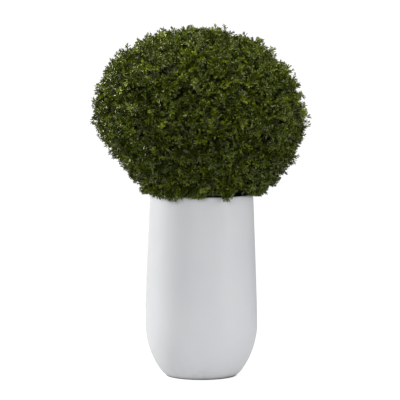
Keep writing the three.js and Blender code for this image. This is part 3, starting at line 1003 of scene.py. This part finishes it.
def leafFinish(name, top, gloss):
    v = leafValues
    leaf = Finish(name, specular=0.74)
    leaf.shader.inputs["Specular Tint"].default_value = (*v["shine"], 1)
    times, plus = v["underside"]
    under = tuple(c * times + plus for c in top)
    dark, pale = (tuple(c * share for c in top) for share in v["shadeRange"])
    shade = leaf.add("ShaderNodeAttribute", attribute_name="leafShade").outputs["Fac"]
    colour = leaf.blend(shade, dark, pale)
    colour = leaf.blend(leaf.grain(11, 0.4, 0.62, detail=3), colour, top, share=0.5)
    uv = leaf.add("ShaderNodeUVMap", uv_map="leafMap").outputs["UV"]
    across = leaf.through("ShaderNodeSeparateXYZ", uv, "Vector", "X")
    left, middle, right = v["rib"]
    leftOfRib = leaf.band(across, left, middle)
    rightOfRib = leaf.band(across, right, middle)
    colour = leaf.blend(leaf.times(leftOfRib, rightOfRib), colour, pale, share=0.55)
    isBack = leaf.add("ShaderNodeNewGeometry").outputs["Backfacing"]
    colour = leaf.blend(isBack, colour, under, share=0.75)
    roughness = leaf.scaled(leaf.grain(500, 0.3, 0.7, detail=3), gloss - 0.07, gloss + 0.12)
    veins = leaf.bump(leaf.grain(1800, 0.3, 0.7, detail=2), distance=0.00012, strength=0.5)
    return leaf.finish(colour, roughness, veins)


def growLeaves():
    v = leafValues
    random = np.random.default_rng(v["seed"])
    outerLevels = ("shoot", "sprig", "twig", "hanging")
    outer, start = [], 0
    for level in outerLevels:
        run = leafRun(level, v["pairs"], v["pitch"], v["sizes"], random)
        corners, spray, shade = trimmedLeaves(run, leafShape)
        outer.append((corners, spray + start, shade))
        start += len(limbs[level]["tip"])
    corners, sprays, shades = (np.concatenate(parts) for parts in zip(*outer))
    shares = np.cumsum([colour["share"] for colour in leafColours.values()])
    tips = np.concatenate([limbs[level]["tip"] for level in outerLevels])
    # painted shade: sprays low in the ball take the darker colours more often
    lean = v["paintedShadeLow"] * np.clip((tips[:, 2] - v["paintedShadeBelow"]) / v["paintedShadeDepth"], -1, 0)
    kind = np.searchsorted(shares, np.clip(random.random(start) + lean, 0, 0.999) * shares[-1])[sprays]
    for number, (name, colour) in enumerate(leafColours.items()):
        piece = leafPiece(name, corners[kind == number], shades[kind == number], leafShape, leafFaces)
        dress(piece, leafFinish(name, colour["top"], colour["gloss"]), "box_leaves", "foliage_ball")
    # inside, a layer of larger dark leaves whose colour is painted shade
    inner = []
    for level, backs in (("innerShoot", v["innerPairs"]), ("sprig", v["lowerPairs"])):
        run = leafRun(level, backs, v["innerPitch"], v["innerSize"], random)
        inner.append(trimmedLeaves(run, innerShape))
    corners, _, shades = (np.concatenate(parts) for parts in zip(*inner))
    piece = leafPiece("leavesInnerPaintedShade", corners, shades, innerShape, innerFaces)
    dress(piece, leafFinish("leavesInnerPaintedShade", **innerShadeColour), "box_leaves", "foliage_ball")


growLeaves()
print("leaves grown")

# Floor, light and background
studioValues = {
    "floorRadius": 1.7,
    "floorWhite": (0.3, 0.3, 0.3),
    "floorPatches": 0.99,  # as a share of that white
    "floorGlow": (0.86, 0.86, 0.86),  # as the camera sees it
    "floorBounce": (0.4, 0.4, 0.405),  # the glow that the planter and the leaves get
    "contactShade": (0.108, 0.117),  # the floor darkens between these radii, close to the foot
    "bounceShade": (0.1, 0.137),
    "bounceCentre": (0.009, 0, 0),  # the darker floor lies a little to the right
    "surround": 0.18,  # light from the white surround
    "seenSurround": 1.05,  # and how white the camera sees it
    "softbox": (1, 1.6),
    "away": 4,
    "windowTint": (1, 0.985, 0.95),  # on the warm lights
    "aimHeight": 0.6,
    "lights": {  # turn from the front, negative to the left, in degrees
        "leftWindow": {"turn": -111, "height": 2, "watts": 138, "warm": True},
        "backLeft": {"turn": -160, "height": 0.9, "watts": 17, "warm": True},
        "sideLeft": {"turn": -70, "height": 2, "watts": 22},
        "frontLeft": {"turn": -12, "height": 2, "watts": 43},
        "frontRight": {"turn": 55, "height": 0.9, "watts": 35},
        "rightWindow": {"turn": 80, "height": 1.7, "watts": 23},
        "backRight": {"turn": 122, "height": 2.1, "watts": 11},
        "overhead": {"turn": 0, "away": 0.3, "height": 4.2, "size": (2, 2), "watts": 83},
    },
}


def awayFrom(paint, centre, radii):  # 0 within the first radius and 1 outside the second
    distance = paint.add("ShaderNodeVectorMath", operation="DISTANCE")
    paint.join(paint.objectPlace, distance.inputs[0])
    distance.inputs[1].default_value = centre
    return paint.band(distance.outputs["Value"], *radii)


def layFloor():
    v = studioValues
    clearSelection()
    bpy.ops.mesh.primitive_circle_add(vertices=96, radius=v["floorRadius"], fill_type="NGON")
    floor = bpy.context.object
    floor.name = "studioFloor"
    paint = Finish("floorPaint", specular=0.1)
    white = v["floorWhite"]
    greyer = tuple(c * v["floorPatches"] for c in white)
    colour = paint.blend(paint.grain(3, 0.3, 0.7, detail=2), white, greyer)
    # painted contact shadow: the glow the camera sees fades to black round the foot
    besideFoot = awayFrom(paint, (0, 0, 0), v["contactShade"])
    seen = paint.blend(besideFoot, (0, 0, 0), v["floorGlow"])
    # painted bounce light from the glowing floor, with painted shade under the belly a little to the right
    besideBelly = awayFrom(paint, v["bounceCentre"], v["bounceShade"])
    bounce = paint.blend(besideBelly, (0, 0, 0), v["floorBounce"])
    isSeen = paint.add("ShaderNodeLightPath").outputs["Is Camera Ray"]
    glow = paint.blend(isSeen, bounce, seen)
    fromBelow = paint.add("ShaderNodeNewGeometry").outputs["Backfacing"]
    paint.join(paint.scaled(fromBelow, 1, 0), paint.shader.inputs["Alpha"])
    paint.join(glow, paint.shader.inputs["Emission Color"])
    paint.shader.inputs["Emission Strength"].default_value = 1
    grain = paint.grain(90)
    roughness = paint.scaled(grain, 0.85, 0.95)
    fine = paint.bump(grain, distance=0.0002, strength=0.2)
    floor.data.materials.append(paint.finish(colour, roughness, fine))


def setLights():
    v = studioValues
    for name, light in v["lights"].items():
        turn = math.radians(light["turn"])
        away = light.get("away", v["away"])
        place = Vector((away * math.sin(turn), -away * math.cos(turn), light["height"]))
        bpy.ops.object.light_add(type="AREA", location=place)
        lamp = bpy.context.object
        lamp.name = name
        lamp.data.shape = "RECTANGLE"
        lamp.data.size, lamp.data.size_y = light.get("size", v["softbox"])
        lamp.data.energy = light["watts"]
        if light.get("warm"):
            lamp.data.color = v["windowTint"]
        sight = Vector((0, 0, v["aimHeight"])) - place
        lamp.rotation_euler = sight.to_track_quat("-Z", "Y").to_euler()


def setSurround():
    world = bpy.data.worlds.new("whiteSurround")
    world.use_nodes = True
    tree = world.node_tree
    background = tree.nodes["Background"]
    background.inputs["Color"].default_value = (1, 1, 1, 1)
    path = addNode(tree, "ShaderNodeLightPath", (-500, 0))
    levels = {"To Min": studioValues["surround"], "To Max": studioValues["seenSurround"]}
    strength = addNode(tree, "ShaderNodeMapRange", (-250, 0), **levels)
    tree.links.new(path.outputs["Is Camera Ray"], strength.inputs["Value"])
    tree.links.new(strength.outputs["Result"], background.inputs["Strength"])
    bpy.context.scene.world = world
    bpy.context.scene.view_settings.view_transform = "Standard"


layFloor()
setLights()
setSurround()
print("studio lit")
